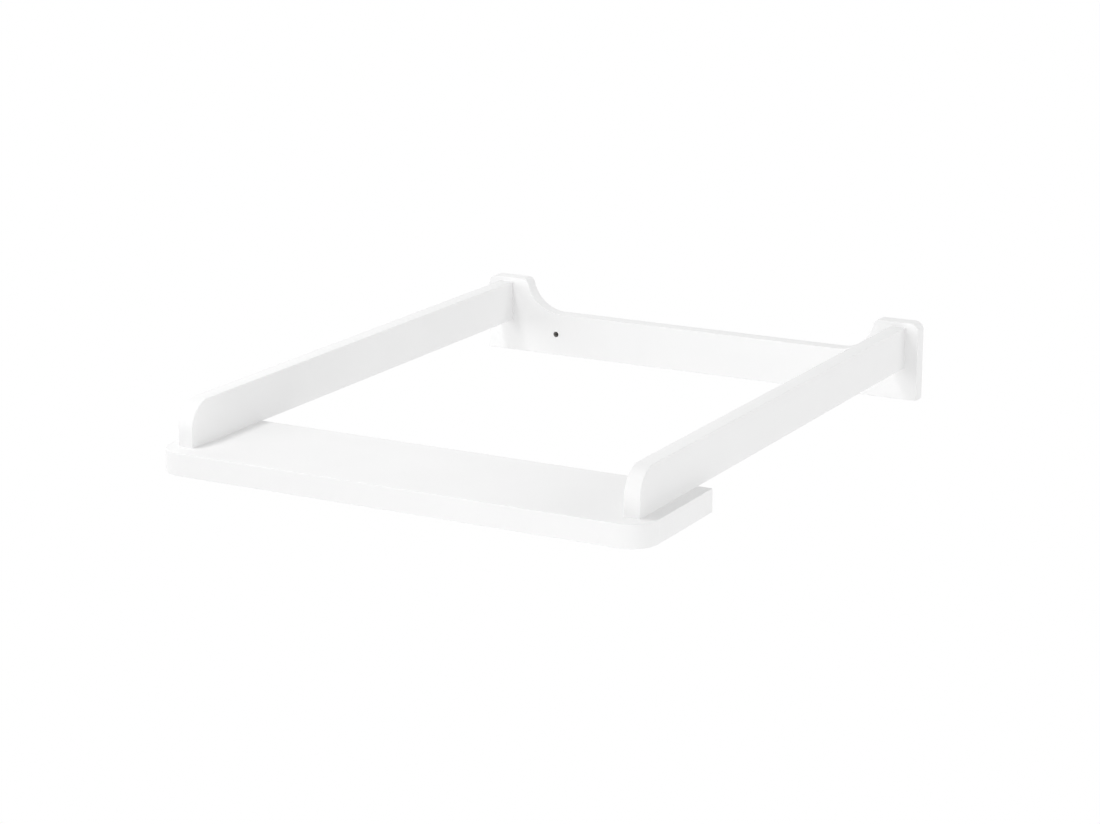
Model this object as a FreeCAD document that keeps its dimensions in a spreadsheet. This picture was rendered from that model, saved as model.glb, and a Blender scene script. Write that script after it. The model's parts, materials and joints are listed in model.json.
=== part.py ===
# Changing top for a dresser: four white boards joined by hidden bolts, nuts and dowels.
# Sizes are millimetres. +X is to the right, the front faces -Y and +Z is up. The origin lies
# midway between the two fixing holes, on the back board's front face.
import FreeCAD, Part
import math
import os
import Sketcher

# Driving sizes: name, millimetres, what it measures.
SIZES = (
    ("overall_width", 570.0, "front board and back board, end to end"),
    ("changing_depth", 700.0, "front board's front edge to the back board's face"),
    ("edge_radius", 1.0, "softening of the boards' edges"),
    ("front_depth", 150.0, "front board, front to rear"),
    ("front_thickness", 25.0, "front board, as thick as the dresser's top"),
    ("front_corner_radius", 30.0, "front board's two front corners, in plan"),
    ("rail_inset", 16.0, "end of the boards to the rail's outer face"),
    ("rail_thickness", 18.0, "rail, side to side"),
    ("rail_height", 48.0, "rail, underside to top"),
    ("rail_setback", 22.0, "front board's front edge to the rail's front end"),
    ("rail_nose_radius", 30.0, "rail's front top corner"),
    ("back_thickness", 18.0, "back board, front to rear"),
    ("back_drop", 38.5, "back board below the rails' undersides"),
    ("dip_rise", 13.5, "back board's dip above the rails' undersides"),
    ("dip_radius", 45.0, "sweep from the dip up to each ear"),
    ("ear_lift", 5.5, "ears above the rails' tops"),
    ("ear_margin", 14.0, "level ear top past the rail's inner face"),
    ("ear_inner_radius", 8.0, "turn from each ear's top into the sweep"),
    ("ear_outer_radius", 10.0, "ears' outer top corners"),
    ("fixing_diameter", 7.0, "holes for the screws into the dresser"),
    ("fixing_spacing", 380.0, "between the two fixing holes"),
    ("fixing_drop", 12.5, "fixing holes below the rails' undersides"),
    ("bolt_diameter", 6.0, "bolt shank"),
    ("bolt_tip", 0.8, "cone at the bolt's tip"),
    ("bolt_tip_reach", 2.0, "rear bolt past its barrel nut"),
    ("bolt_tip_gap", 1.0, "bore past the bolt's tip"),
    ("bolt_clearance", 0.25, "around the shank in the boards"),
    ("thread_clearance", 0.05, "around the shank in its nut or insert"),
    ("head_diameter", 15.0, "bolt head"),
    ("head_height", 2.5, "bolt head"),
    ("head_recess", 4.0, "head's seat below the board's surface"),
    ("head_clearance", 0.5, "around the head"),
    ("socket_width", 4.0, "hexagon socket across its flats"),
    ("socket_depth", 2.0, "hexagon socket"),
    ("front_bolt_inset", 22.0, "front bolts from the ends of the rail's seat"),
    ("insert_diameter", 10.0, "threaded insert"),
    ("insert_length", 13.0, "threaded insert"),
    ("insert_recess", 0.5, "insert above the rail's underside"),
    ("insert_lead", 1.0, "chamfer at the insert's inner end"),
    ("nut_diameter", 10.0, "barrel nut"),
    ("nut_length", 16.0, "barrel nut"),
    ("nut_setback", 34.0, "barrel nut from the rail's rear end"),
    ("nut_end_gap", 0.2, "bore past the barrel nut"),
    ("slot_width", 1.2, "screwdriver slot in the barrel nut"),
    ("slot_depth", 1.5, "screwdriver slot in the barrel nut"),
    ("bore_clearance", 0.1, "around an insert, a barrel nut or a dowel"),
    ("bore_wall", 2.0, "wood left between a bolt head and a dowel"),
    ("dowel_diameter", 8.0, "dowel"),
    ("dowel_length", 30.0, "dowel"),
    ("dowel_chamfer", 0.8, "dowel's ends"),
    ("dowel_end_gap", 0.5, "bore past each dowel end"),
    ("flute_radius", 0.45, "glue flutes along the dowel"),
    ("front_dowel_depth", 14.0, "dowel's share in the front board"),
    ("rear_dowel_depth", 11.0, "dowel's share in the back board"),
)

# Places and sizes that follow from the driving ones: name, formula, what it measures.
PLACES = (
    ("half_width", "=sizes.overall_width / 2", "centre to the boards' ends"),
    ("rail_offset", "=half_width - sizes.rail_inset - sizes.rail_thickness / 2", "centre to rail"),
    ("ear_rise", "=sizes.rail_height + sizes.ear_lift", "ears above the rails' undersides"),
    ("ear_width", "=sizes.rail_inset + sizes.rail_thickness + sizes.ear_margin", "level ear top"),
    ("half_fixing", "=sizes.fixing_spacing / 2", "centre to fixing hole"),
    ("socket_half", "=sizes.socket_width / 2", "socket's centre to its flats"),
    ("socket_corner", "=sizes.socket_width / sqrt(3)", "socket's centre to its corners"),
    ("socket_side", "=socket_corner / 2", "half of a socket's flat"),
    ("slot_half", "=sizes.slot_width / 2", "half of the barrel nut's slot"),
    ("dowel_radius", "=sizes.dowel_diameter / 2", "dowel's centre to its flutes"),
    ("flute_diameter", "=2 * sizes.flute_radius", "glue flute"),
    ("bolt_bore", "=sizes.bolt_diameter + 2 * sizes.bolt_clearance", "diameter"),
    ("thread_bore", "=sizes.bolt_diameter + 2 * sizes.thread_clearance", "diameter"),
    ("head_bore", "=sizes.head_diameter + 2 * sizes.head_clearance", "diameter"),
    ("insert_bore", "=sizes.insert_diameter + 2 * sizes.bore_clearance", "diameter"),
    ("nut_bore", "=sizes.nut_diameter + 2 * sizes.bore_clearance", "diameter"),
    ("dowel_bore", "=sizes.dowel_diameter + 2 * sizes.bore_clearance", "diameter"),
    ("front_grip", "=sizes.front_thickness - sizes.head_recess", "board under a front bolt's head"),
    ("rear_grip", "=sizes.back_thickness - sizes.head_recess", "board under a rear bolt's head"),
    ("front_bolt_length", "=front_grip + sizes.insert_recess + sizes.insert_length", "seat to tip"),
    ("rear_bolt_reach", "=sizes.nut_setback + sizes.nut_diameter / 2 + sizes.bolt_tip_reach", "in the rail"),
    ("rear_bolt_length", "=rear_grip + rear_bolt_reach", "seat to tip"),
    ("insert_bore_depth", "=sizes.insert_recess + sizes.insert_length + sizes.bolt_tip_gap", "in rail"),
    ("rear_bolt_depth", "=rear_bolt_reach + sizes.bolt_tip_gap", "in rail"),
    ("nut_bore_depth", "=(sizes.rail_height + sizes.nut_length) / 2 + sizes.nut_end_gap", "in rail"),
    ("front_board_dowel", "=sizes.front_dowel_depth + sizes.dowel_end_gap", "bore depth"),
    ("front_rail_dowel", "=sizes.dowel_length - sizes.front_dowel_depth + sizes.dowel_end_gap", "bore depth"),
    ("back_board_dowel", "=sizes.rear_dowel_depth + sizes.dowel_end_gap", "bore depth"),
    ("rear_rail_dowel", "=sizes.dowel_length - sizes.rear_dowel_depth + sizes.dowel_end_gap", "bore depth"),
    ("bolt_1_back", "=sizes.rail_setback + sizes.front_bolt_inset", "from the front edge"),
    ("bolt_2_back", "=sizes.front_depth - sizes.front_bolt_inset", "from the front edge"),
    ("dowel_1_back", "=bolt_1_back + (bolt_2_back - bolt_1_back) / 3", "from the front edge"),
    ("dowel_2_back", "=bolt_2_back - (bolt_2_back - bolt_1_back) / 3", "from the front edge"),
    ("nut_back", "=sizes.changing_depth - sizes.nut_setback", "from the front edge"),
    ("rear_bolt_up", "=sizes.rail_height / 2", "above the rail's underside"),
    ("rear_dowel_step", "=(head_bore + sizes.dowel_diameter) / 2 + sizes.bore_wall", "bolt to dowel"),
    ("rear_dowel_1_up", "=rear_bolt_up - rear_dowel_step", "above the rail's underside"),
    ("rear_dowel_2_up", "=rear_bolt_up + rear_dowel_step", "above the rail's underside"),
)

FLUTES = 12
SIDES = (("left", -1), ("right", 1))
PAIR = (1, 2)
ZERO = "0"
START, END, CENTRE = range(1, 4)
ORIGIN, VERTICAL_AXIS = range(-1, -3, -1)
SMOOTH_ANGLE = math.radians(5)
SAME_PLACE = 0.01

doc = FreeCAD.newDocument("changing_top")


def fill_sheet(name, rows):
    """A spreadsheet with one named cell per row."""
    sheet = doc.addObject("Spreadsheet::Sheet", name)
    for row, (alias, content, meaning) in enumerate(rows, start=1):
        sheet.set(f"A{row}", alias)
        sheet.set(f"B{row}", str(content))
        sheet.set(f"C{row}", meaning)
        sheet.setAlias(f"B{row}", alias)
    doc.recompute()
    return sheet


def number(name):
    """Value of a sheet name, which may carry a minus sign."""
    if name == ZERO:
        return 0.0
    sign = -1.0 if name.startswith("-") else 1.0
    sheet, alias = name.lstrip("-").split(".")
    return sign * getattr(doc.getObject(sheet), alias)


def new_body(name):
    body = doc.addObject("PartDesign::Body", name)
    body.Label = name
    return body


def place(body, x=ZERO, y=ZERO, z=ZERO, along_depth=False):
    """Put a body at its formulas. along_depth turns its own +Z to the front."""
    if along_depth:
        body.Placement.Rotation = FreeCAD.Rotation(FreeCAD.Vector(1, 0, 0), 90)
    for axis, formula in (("x", x), ("y", y), ("z", z)):
        body.setExpression(f"Placement.Base.{axis}", formula)


def new_sketch(body, role, name, offset=None):
    """A sketch on one of the body's own planes, moved along its normal by a formula."""
    sketch = body.newObject("Sketcher::SketchObject", name)
    plane = next(feature for feature in body.Origin.OriginFeatures if feature.Role == role)
    sketch.AttachmentSupport = [(plane, "")]
    sketch.MapMode = "FlatFace"
    if offset:
        sketch.setExpression("AttachmentOffset.Base.z", offset)
    return sketch


def bind(sketch, name, kind, *where):
    """Add a dimension that follows a sheet name."""
    index = sketch.addConstraint(Sketcher.Constraint(kind, *where, number(name)))
    if name != ZERO:
        sketch.setExpression(f"Constraints[{index}]", name)


def bind_point(sketch, edge, point, x, y):
    bind(sketch, x, "DistanceX", ORIGIN, START, edge, point)
    bind(sketch, y, "DistanceY", ORIGIN, START, edge, point)


def polygon(sketch, corners):
    """Closed outline of straight edges, with a pair of sheet names for each corner."""
    points = [FreeCAD.Vector(number(x), number(y), 0) for x, y in corners]
    following = points[1:] + points[:1]
    for corner, next_corner in zip(points, following):
        sketch.addGeometry(Part.LineSegment(corner, next_corner))
    for edge, (x, y) in enumerate(corners):
        next_edge = (edge + 1) % len(corners)
        sketch.addConstraint(Sketcher.Constraint("Coincident", edge, END, next_edge, START))
        bind_point(sketch, edge, START, x, y)


def circles(sketch, diameter, centres):
    """Circles of one diameter, with a pair of sheet names for each centre."""
    normal = FreeCAD.Vector(0, 0, 1)
    for x, y in centres:
        centre = FreeCAD.Vector(number(x), number(y), 0)
        edge = sketch.addGeometry(Part.Circle(centre, normal, number(diameter) / 2))
        bind(sketch, diameter, "Diameter", edge)
        bind_point(sketch, edge, CENTRE, x, y)


def pad(body, sketch, length, reverse=False, both_ways=False):
    feature = body.newObject("PartDesign::Pad", "pad")
    feature.Profile = sketch
    feature.setExpression("Length", length)
    feature.Reversed = reverse
    if both_ways:
        feature.SideType = "Symmetric"
    doc.recompute()
    return feature


def pocket(body, sketch, depth=None, reverse=False, both_ways=False):
    """Cut a sketch against its plane's normal, or along it if reversed; with no depth, right through."""
    feature = body.newObject("PartDesign::Pocket", "pocket")
    feature.Profile = sketch
    feature.Reversed = reverse
    if both_ways:
        feature.SideType = "Symmetric"
    if depth:
        feature.setExpression("Length", depth)
    else:
        feature.Type = "ThroughAll"
    doc.recompute()
    return feature


def bores(body, role, name, diameter, centres, depth=None, offset=None, reverse=False):
    sketch = new_sketch(body, role, name, offset)
    circles(sketch, diameter, centres)
    return pocket(body, sketch, depth, reverse)


def is_sharp(shape, edge):
    """Whether the two faces at an edge meet at an angle."""
    faces = shape.ancestorsOfType(edge, Part.Face)
    if len(faces) != 2:
        return False
    middle = edge.valueAt((edge.FirstParameter + edge.LastParameter) / 2)
    normals = [face.normalAt(*face.Surface.parameter(middle)) for face in faces]
    return normals[0].getAngle(normals[1]) > SMOOTH_ANGLE


def edge_names(shape, wanted):
    return [f"Edge{index}" for index, edge in enumerate(shape.Edges, start=1) if wanted(edge)]


def round_edges(body, base, radius, wanted):
    """Fillet the edges of a feature that a test picks out."""
    feature = body.newObject("PartDesign::Fillet", "fillet")
    feature.Base = (base, edge_names(base.Shape, wanted))
    feature.setExpression("Radius", radius)
    doc.recompute()
    return feature


def chamfer_edges(body, base, size, wanted):
    """Chamfer the edges of a feature that a test picks out."""
    feature = body.newObject("PartDesign::Chamfer", "chamfer")
    feature.Base = (base, edge_names(base.Shape, wanted))
    feature.setExpression("Size", size)
    doc.recompute()
    return feature


def soften(body, base, is_seat=lambda edge: False):
    """Round the sharp edges, apart from those of a face that seats on another board."""
    return round_edges(
        body, base, "sizes.edge_radius",
        lambda edge: is_sharp(base.Shape, edge) and not is_seat(edge),
    )


def runs_along(edge, axis):
    """Whether a straight edge lies along x, y or z."""
    ends = edge.BoundBox
    lengths = {"x": ends.XLength, "y": ends.YLength, "z": ends.ZLength}
    return lengths.pop(axis) > SAME_PLACE and max(lengths.values()) < SAME_PLACE


def both_sides(x, *heights):
    """Mirrored centres, left and right of the middle."""
    return [(sign + x, height) for sign in ("-", "") for height in heights]


def make_front_board():
    """Flat board in front, drawn from its front edge, with its top at the rails' undersides."""
    body = new_body("front_board")
    outline = new_sketch(body, "XY_Plane", "board_outline")
    polygon(outline, (
        ("-places.half_width", ZERO),
        ("places.half_width", ZERO),
        ("places.half_width", "sizes.front_depth"),
        ("-places.half_width", "sizes.front_depth"),
    ))
    board = pad(body, outline, "sizes.front_thickness", reverse=True)
    corners = round_edges(
        body, board, "sizes.front_corner_radius",
        lambda edge: runs_along(edge, "z") and edge.CenterOfMass.y < SAME_PLACE,
    )
    soften(body, corners)
    bolts = both_sides("places.rail_offset", "places.bolt_1_back", "places.bolt_2_back")
    dowels = both_sides("places.rail_offset", "places.dowel_1_back", "places.dowel_2_back")
    bores(body, "XY_Plane", "bolt_bores", "places.bolt_bore", bolts)
    bores(body, "XY_Plane", "head_bores", "places.head_bore", bolts,
          depth="sizes.head_recess", offset="-sizes.front_thickness", reverse=True)
    bores(body, "XY_Plane", "dowel_bores", "places.dowel_bore", dowels, depth="places.front_board_dowel")
    place(body, y="-sizes.changing_depth", z="sizes.fixing_drop")
    return body


def make_rail(side, sign):
    """Rail on edge, drawn from the front board's front edge, with its underside at zero."""
    body = new_body(f"{side}_rail")
    outline = new_sketch(body, "YZ_Plane", "rail_outline")
    polygon(outline, (
        ("sizes.rail_setback", ZERO),
        ("sizes.changing_depth", ZERO),
        ("sizes.changing_depth", "sizes.rail_height"),
        ("sizes.rail_setback", "sizes.rail_height"),
    ))
    board = pad(body, outline, "sizes.rail_thickness", both_ways=True)
    front_end = number("sizes.rail_setback") + SAME_PLACE
    rear_end = number("sizes.changing_depth") - SAME_PLACE
    underside = SAME_PLACE
    nose = round_edges(
        body, board, "sizes.rail_nose_radius",
        lambda edge: runs_along(edge, "x") and edge.CenterOfMass.y < front_end
        and edge.CenterOfMass.z > underside,
    )
    soften(body, nose, lambda edge: edge.CenterOfMass.z < underside or edge.CenterOfMass.y > rear_end)
    bores(body, "XY_Plane", "insert_bores", "places.insert_bore",
          ((ZERO, "places.bolt_1_back"), (ZERO, "places.bolt_2_back")),
          depth="places.insert_bore_depth", reverse=True)
    bores(body, "XY_Plane", "front_dowel_bores", "places.dowel_bore",
          ((ZERO, "places.dowel_1_back"), (ZERO, "places.dowel_2_back")),
          depth="places.front_rail_dowel", reverse=True)
    bores(body, "XY_Plane", "nut_bore", "places.nut_bore", ((ZERO, "places.nut_back"),),
          depth="places.nut_bore_depth", reverse=True)
    bores(body, "XZ_Plane", "rear_bolt_bore", "places.bolt_bore", ((ZERO, "places.rear_bolt_up"),),
          depth="places.rear_bolt_depth", offset="-sizes.changing_depth", reverse=True)
    bores(body, "XZ_Plane", "rear_dowel_bores", "places.dowel_bore",
          ((ZERO, "places.rear_dowel_1_up"), (ZERO, "places.rear_dowel_2_up")),
          depth="places.rear_rail_dowel", offset="-sizes.changing_depth", reverse=True)
    place(body, f"{sign} * places.rail_offset", "-sizes.changing_depth", "sizes.fixing_drop")
    return body


def draw_back_outline(sketch):
    """Back board's face: level bottom, upright ends, level ears, and a dip between two sweeps."""
    half = number("places.half_width")
    bottom = -number("sizes.back_drop")
    dip = number("sizes.dip_rise")
    ear = number("places.ear_rise")
    ear_end = half - number("places.ear_width")
    turn = number("sizes.ear_inner_radius")
    sweep = number("sizes.dip_radius")
    turn_height = ear - turn
    sweep_height = dip + sweep
    slope = math.asin((sweep_height - turn_height) / (sweep + turn))
    sweep_start = ear_end - (sweep + turn) * math.cos(slope)

    def line(x, y, next_x, next_y):
        ends = FreeCAD.Vector(x, y, 0), FreeCAD.Vector(next_x, next_y, 0)
        return sketch.addGeometry(Part.LineSegment(*ends))

    def arc(x, y, radius, first, last):
        circle = Part.Circle(FreeCAD.Vector(x, y, 0), FreeCAD.Vector(0, 0, 1), radius)
        return sketch.addGeometry(Part.ArcOfCircle(circle, first, last))

    quarter = math.pi / 2
    floor = line(-half, bottom, half, bottom)
    right_end = line(half, bottom, half, ear)
    right_top = line(half, ear, ear_end, ear)
    right_turn = arc(ear_end, turn_height, turn, quarter, math.pi - slope)
    right_sweep = arc(sweep_start, sweep_height, sweep, -quarter, -slope)
    dip_edge = line(sweep_start, dip, -sweep_start, dip)
    left_sweep = arc(-sweep_start, sweep_height, sweep, math.pi + slope, 3 * quarter)
    left_turn = arc(-ear_end, turn_height, turn, slope, quarter)
    left_top = line(-ear_end, ear, -half, ear)
    left_end = line(-half, ear, -half, bottom)

    corners = ((floor, right_end), (right_end, right_top), (left_top, left_end), (left_end, floor))
    for edge, next_edge in corners:
        sketch.addConstraint(Sketcher.Constraint("Coincident", edge, END, next_edge, START))
    for joint in (
        (right_top, END, right_turn, START),
        (right_turn, END, right_sweep, END),
        (right_sweep, START, dip_edge, START),
        (dip_edge, END, left_sweep, END),
        (left_sweep, START, left_turn, START),
        (left_turn, END, left_top, START),
    ):
        sketch.addConstraint(Sketcher.Constraint("Tangent", *joint))
    for edge in (right_top, dip_edge, left_top):
        sketch.addConstraint(Sketcher.Constraint("Horizontal", edge))
    for edge in (right_end, left_end):
        sketch.addConstraint(Sketcher.Constraint("Vertical", edge))
    sketch.addConstraint(Sketcher.Constraint("Symmetric", floor, START, floor, END, VERTICAL_AXIS))
    sketch.addConstraint(Sketcher.Constraint("Symmetric", right_top, END, left_top, START, VERTICAL_AXIS))
    sketch.addConstraint(Sketcher.Constraint("Equal", right_turn, left_turn))
    sketch.addConstraint(Sketcher.Constraint("Equal", right_sweep, left_sweep))
    bind(sketch, "sizes.ear_inner_radius", "Radius", right_turn)
    bind(sketch, "sizes.dip_radius", "Radius", right_sweep)
    bind(sketch, "sizes.overall_width", "DistanceX", floor, START, floor, END)
    bind(sketch, "sizes.back_drop", "DistanceY", floor, START, ORIGIN, START)
    bind(sketch, "sizes.dip_rise", "DistanceY", ORIGIN, START, dip_edge, START)
    bind(sketch, "places.ear_rise", "DistanceY", ORIGIN, START, right_top, START)
    bind(sketch, "places.ear_width", "DistanceX", right_top, END, right_top, START)


def make_back_board():
    """Board on edge behind the rails, drawn on its front face from the rails' undersides."""
    body = new_body("back_board")
    outline = new_sketch(body, "XZ_Plane", "board_outline")
    draw_back_outline(outline)
    board = pad(body, outline, "sizes.back_thickness", reverse=True)
    end = number("places.half_width") - SAME_PLACE
    corners = round_edges(
        body, board, "sizes.ear_outer_radius",
        lambda edge: runs_along(edge, "y") and abs(edge.CenterOfMass.x) > end and edge.CenterOfMass.z > 0,
    )
    soften(body, corners)
    bolts = both_sides("places.rail_offset", "places.rear_bolt_up")
    dowels = both_sides("places.rail_offset", "places.rear_dowel_1_up", "places.rear_dowel_2_up")
    bores(body, "XZ_Plane", "fixing_holes", "sizes.fixing_diameter",
          both_sides("places.half_fixing", "-sizes.fixing_drop"))
    bores(body, "XZ_Plane", "bolt_bores", "places.bolt_bore", bolts)
    bores(body, "XZ_Plane", "head_bores", "places.head_bore", bolts,
          depth="sizes.head_recess", offset="-sizes.back_thickness", reverse=True)
    bores(body, "XZ_Plane", "dowel_bores", "places.dowel_bore", dowels, depth="places.back_board_dowel")
    place(body, z="sizes.fixing_drop")
    return body


def round_bar(body, name, diameter, length, reverse=False):
    """Plain round bar from the body's own origin along its axis."""
    sketch = new_sketch(body, "XY_Plane", name)
    circles(sketch, diameter, ((ZERO, ZERO),))
    return pad(body, sketch, length, reverse)


def is_rim(edge, height, radius):
    """Whether an edge is the circle of that radius at that height."""
    if not isinstance(edge.Curve, Part.Circle):
        return False
    return abs(edge.CenterOfMass.z - height) < SAME_PLACE and abs(edge.Curve.Radius - radius) < SAME_PLACE


def make_bolt(name, length):
    """Flat-headed bolt, drawn from its head's seat with its shank upwards."""
    body = new_body(name)
    round_bar(body, "head_outline", "sizes.head_diameter", "sizes.head_height", reverse=True)
    shank = round_bar(body, "shank_outline", "sizes.bolt_diameter", length)
    tip_height = number(length)
    tip_radius = number("sizes.bolt_diameter") / 2
    chamfer_edges(body, shank, "sizes.bolt_tip", lambda edge: is_rim(edge, tip_height, tip_radius))
    socket = new_sketch(body, "XY_Plane", "socket_outline", "-sizes.head_height")
    polygon(socket, (
        ("places.socket_corner", ZERO),
        ("places.socket_side", "places.socket_half"),
        ("-places.socket_side", "places.socket_half"),
        ("-places.socket_corner", ZERO),
        ("-places.socket_side", "-places.socket_half"),
        ("places.socket_side", "-places.socket_half"),
    ))
    pocket(body, socket, "sizes.socket_depth", reverse=True)
    return body


def make_insert(name):
    """Threaded insert, drawn from its lower end."""
    body = new_body(name)
    sketch = new_sketch(body, "XY_Plane", "ring_outline")
    for diameter in ("sizes.insert_diameter", "places.thread_bore"):
        circles(sketch, diameter, ((ZERO, ZERO),))
    ring = pad(body, sketch, "sizes.insert_length")
    top = number("sizes.insert_length")
    radius = number("sizes.insert_diameter") / 2
    chamfer_edges(body, ring, "sizes.insert_lead", lambda edge: is_rim(edge, top, radius))
    return body


def make_nut(name):
    """Upright barrel nut with its thread across the middle and a slot in its lower end."""
    body = new_body(name)
    barrel = new_sketch(body, "XY_Plane", "barrel_outline")
    circles(barrel, "sizes.nut_diameter", ((ZERO, ZERO),))
    pad(body, barrel, "sizes.nut_length", both_ways=True)
    thread = new_sketch(body, "XZ_Plane", "thread_outline")
    circles(thread, "places.thread_bore", ((ZERO, ZERO),))
    pocket(body, thread, both_ways=True)
    slot = new_sketch(body, "XY_Plane", "slot_outline", "-sizes.nut_length / 2")
    polygon(slot, (
        ("-sizes.nut_diameter", "-places.slot_half"),
        ("sizes.nut_diameter", "-places.slot_half"),
        ("sizes.nut_diameter", "places.slot_half"),
        ("-sizes.nut_diameter", "places.slot_half"),
    ))
    pocket(body, slot, "sizes.slot_depth", reverse=True)
    return body


def make_dowel(name):
    """Fluted dowel, drawn from one end."""
    body = new_body(name)
    bar = round_bar(body, "dowel_outline", "sizes.dowel_diameter", "sizes.dowel_length")
    chamfer_edges(body, bar, "sizes.dowel_chamfer", lambda edge: isinstance(edge.Curve, Part.Circle))
    sketch = new_sketch(body, "XY_Plane", "flute_outline")
    circles(sketch, "places.flute_diameter", (("places.dowel_radius", ZERO),))
    flute = pocket(body, sketch, "sizes.dowel_length", reverse=True)
    flutes = body.newObject("PartDesign::PolarPattern", "flutes")
    flutes.Originals = [flute]
    flutes.Axis = (sketch, ["N_Axis"])
    flutes.Angle = 360
    flutes.Occurrences = FLUTES
    body.Tip = flutes
    doc.recompute()
    return body


def make_front_joint(side, sign):
    """Two bolts up through the front board into inserts in the rail, with two dowels between them."""
    x = f"{sign} * places.rail_offset"
    pieces = []
    for index in PAIR:
        bolt = make_bolt(f"{side}_front_bolt_{index}", "places.front_bolt_length")
        insert = make_insert(f"{side}_front_insert_{index}")
        dowel = make_dowel(f"{side}_front_dowel_{index}")
        bolt_y = f"places.bolt_{index}_back - sizes.changing_depth"
        dowel_y = f"places.dowel_{index}_back - sizes.changing_depth"
        place(bolt, x, bolt_y, "sizes.fixing_drop - places.front_grip")
        place(insert, x, bolt_y, "sizes.fixing_drop + sizes.insert_recess")
        place(dowel, x, dowel_y, "sizes.fixing_drop - sizes.front_dowel_depth")
        pieces += [bolt, insert, dowel]
    return pieces


def make_rear_joint(side, sign):
    """A bolt through the back board into a barrel nut in the rail, with a dowel below and above it."""
    x = f"{sign} * places.rail_offset"
    bolt_z = "sizes.fixing_drop + places.rear_bolt_up"
    bolt = make_bolt(f"{side}_rear_bolt", "places.rear_bolt_length")
    place(bolt, x, "places.rear_grip", bolt_z, along_depth=True)
    nut = make_nut(f"{side}_barrel_nut")
    place(nut, x, "-sizes.nut_setback", bolt_z)
    pieces = [bolt, nut]
    for index in PAIR:
        dowel = make_dowel(f"{side}_rear_dowel_{index}")
        dowel_z = f"sizes.fixing_drop + places.rear_dowel_{index}_up"
        place(dowel, x, "sizes.rear_dowel_depth", dowel_z, along_depth=True)
        pieces.append(dowel)
    return pieces


def check(pieces):
    """Stop if a feature failed, a cut removed nothing or a piece isn't one valid solid."""
    for item in doc.Objects:
        if "Invalid" in item.State or "Error" in item.State:
            raise RuntimeError(f"{item.Label} failed: {item.State}")
        if item.TypeId == "PartDesign::Pocket" and item.Shape.Volume >= item.BaseFeature.Shape.Volume:
            raise RuntimeError(f"{item.Label} cuts nothing")
    for piece in pieces:
        shape = piece.Shape
        if shape.isNull() or not shape.isValid() or len(shape.Solids) != 1:
            raise RuntimeError(f"{piece.Label} isn't one valid solid")


def main():
    fill_sheet("sizes", SIZES)
    fill_sheet("places", PLACES)
    pieces = [make_front_board(), make_back_board()]
    for side, sign in SIDES:
        pieces.append(make_rail(side, sign))
        pieces += make_front_joint(side, sign)
        pieces += make_rear_joint(side, sign)
    doc.recompute()
    check(pieces)
    os.makedirs("parts", exist_ok=True)
    for piece in pieces:
        piece.Shape.exportStep(f"parts/{piece.Label}.step")
    print(f"{len(pieces)} pieces written")


main()
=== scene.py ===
"""Changing top for a dresser: its finishes, its fasteners and the studio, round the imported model."""
import json
import math

import bmesh
import bpy
from mathutils import Matrix, Vector


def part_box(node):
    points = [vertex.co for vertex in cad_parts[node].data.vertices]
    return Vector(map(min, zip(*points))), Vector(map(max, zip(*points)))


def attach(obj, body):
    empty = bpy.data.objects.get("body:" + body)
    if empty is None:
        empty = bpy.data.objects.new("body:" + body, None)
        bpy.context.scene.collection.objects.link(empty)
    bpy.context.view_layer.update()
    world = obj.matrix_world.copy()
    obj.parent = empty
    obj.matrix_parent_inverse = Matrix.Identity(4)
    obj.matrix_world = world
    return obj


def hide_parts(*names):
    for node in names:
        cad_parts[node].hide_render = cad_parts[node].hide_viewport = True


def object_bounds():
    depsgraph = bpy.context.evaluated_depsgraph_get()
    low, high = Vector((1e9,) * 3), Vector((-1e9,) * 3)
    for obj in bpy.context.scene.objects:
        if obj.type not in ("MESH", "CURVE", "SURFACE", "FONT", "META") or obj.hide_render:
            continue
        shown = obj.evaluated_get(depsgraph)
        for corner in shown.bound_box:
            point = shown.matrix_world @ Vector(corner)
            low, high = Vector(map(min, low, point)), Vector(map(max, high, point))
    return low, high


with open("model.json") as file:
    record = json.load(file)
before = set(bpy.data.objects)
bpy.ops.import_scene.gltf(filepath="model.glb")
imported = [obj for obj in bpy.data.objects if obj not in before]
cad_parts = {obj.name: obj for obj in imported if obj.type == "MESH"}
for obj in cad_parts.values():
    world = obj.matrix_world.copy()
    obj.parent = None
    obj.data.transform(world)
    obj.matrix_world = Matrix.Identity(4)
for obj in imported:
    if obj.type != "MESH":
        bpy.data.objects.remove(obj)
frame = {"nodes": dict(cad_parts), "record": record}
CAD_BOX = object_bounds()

bl_info = {
    "name": "Changing top",
    "version": (1, 0, 0),
    "blender": (4, 5, 0),
    "location": "3D View > Sidebar > Changing top",
    "description": "Dresses the boards and fasteners of a changing top and sets up its studio",
    "category": "Object",
}

# Units, directions and plain values

MM = 0.001
FULL_TURN = 2 * math.pi
ORIGIN = (0.0, 0.0, 0.0)
UP = (0.0, 0.0, 1.0)
BACKWARD = (0.0, 1.0, 0.0)
ZERO_TO_ONE = (0.0, 1.0)
WHITE = (1.0, 1.0, 1.0, 1.0)

# CAD nodes

SIDES = ("left", "right")
PLACES = (1, 2)
RAILS = [f"{side}_rail" for side in SIDES]
FRONT_BOLTS = [f"{side}_front_bolt_{place}" for side in SIDES for place in PLACES]
REAR_BOLTS = [f"{side}_rear_bolt" for side in SIDES]
INSERTS = [f"{side}_front_insert_{place}" for side in SIDES for place in PLACES]
BARREL_NUTS = [f"{side}_barrel_nut" for side in SIDES]
FRONT_DOWELS = [f"{side}_front_dowel_{place}" for side in SIDES for place in PLACES]
REAR_DOWELS = [f"{side}_rear_dowel_{place}" for side in SIDES for place in PLACES]


# Settings

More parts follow.
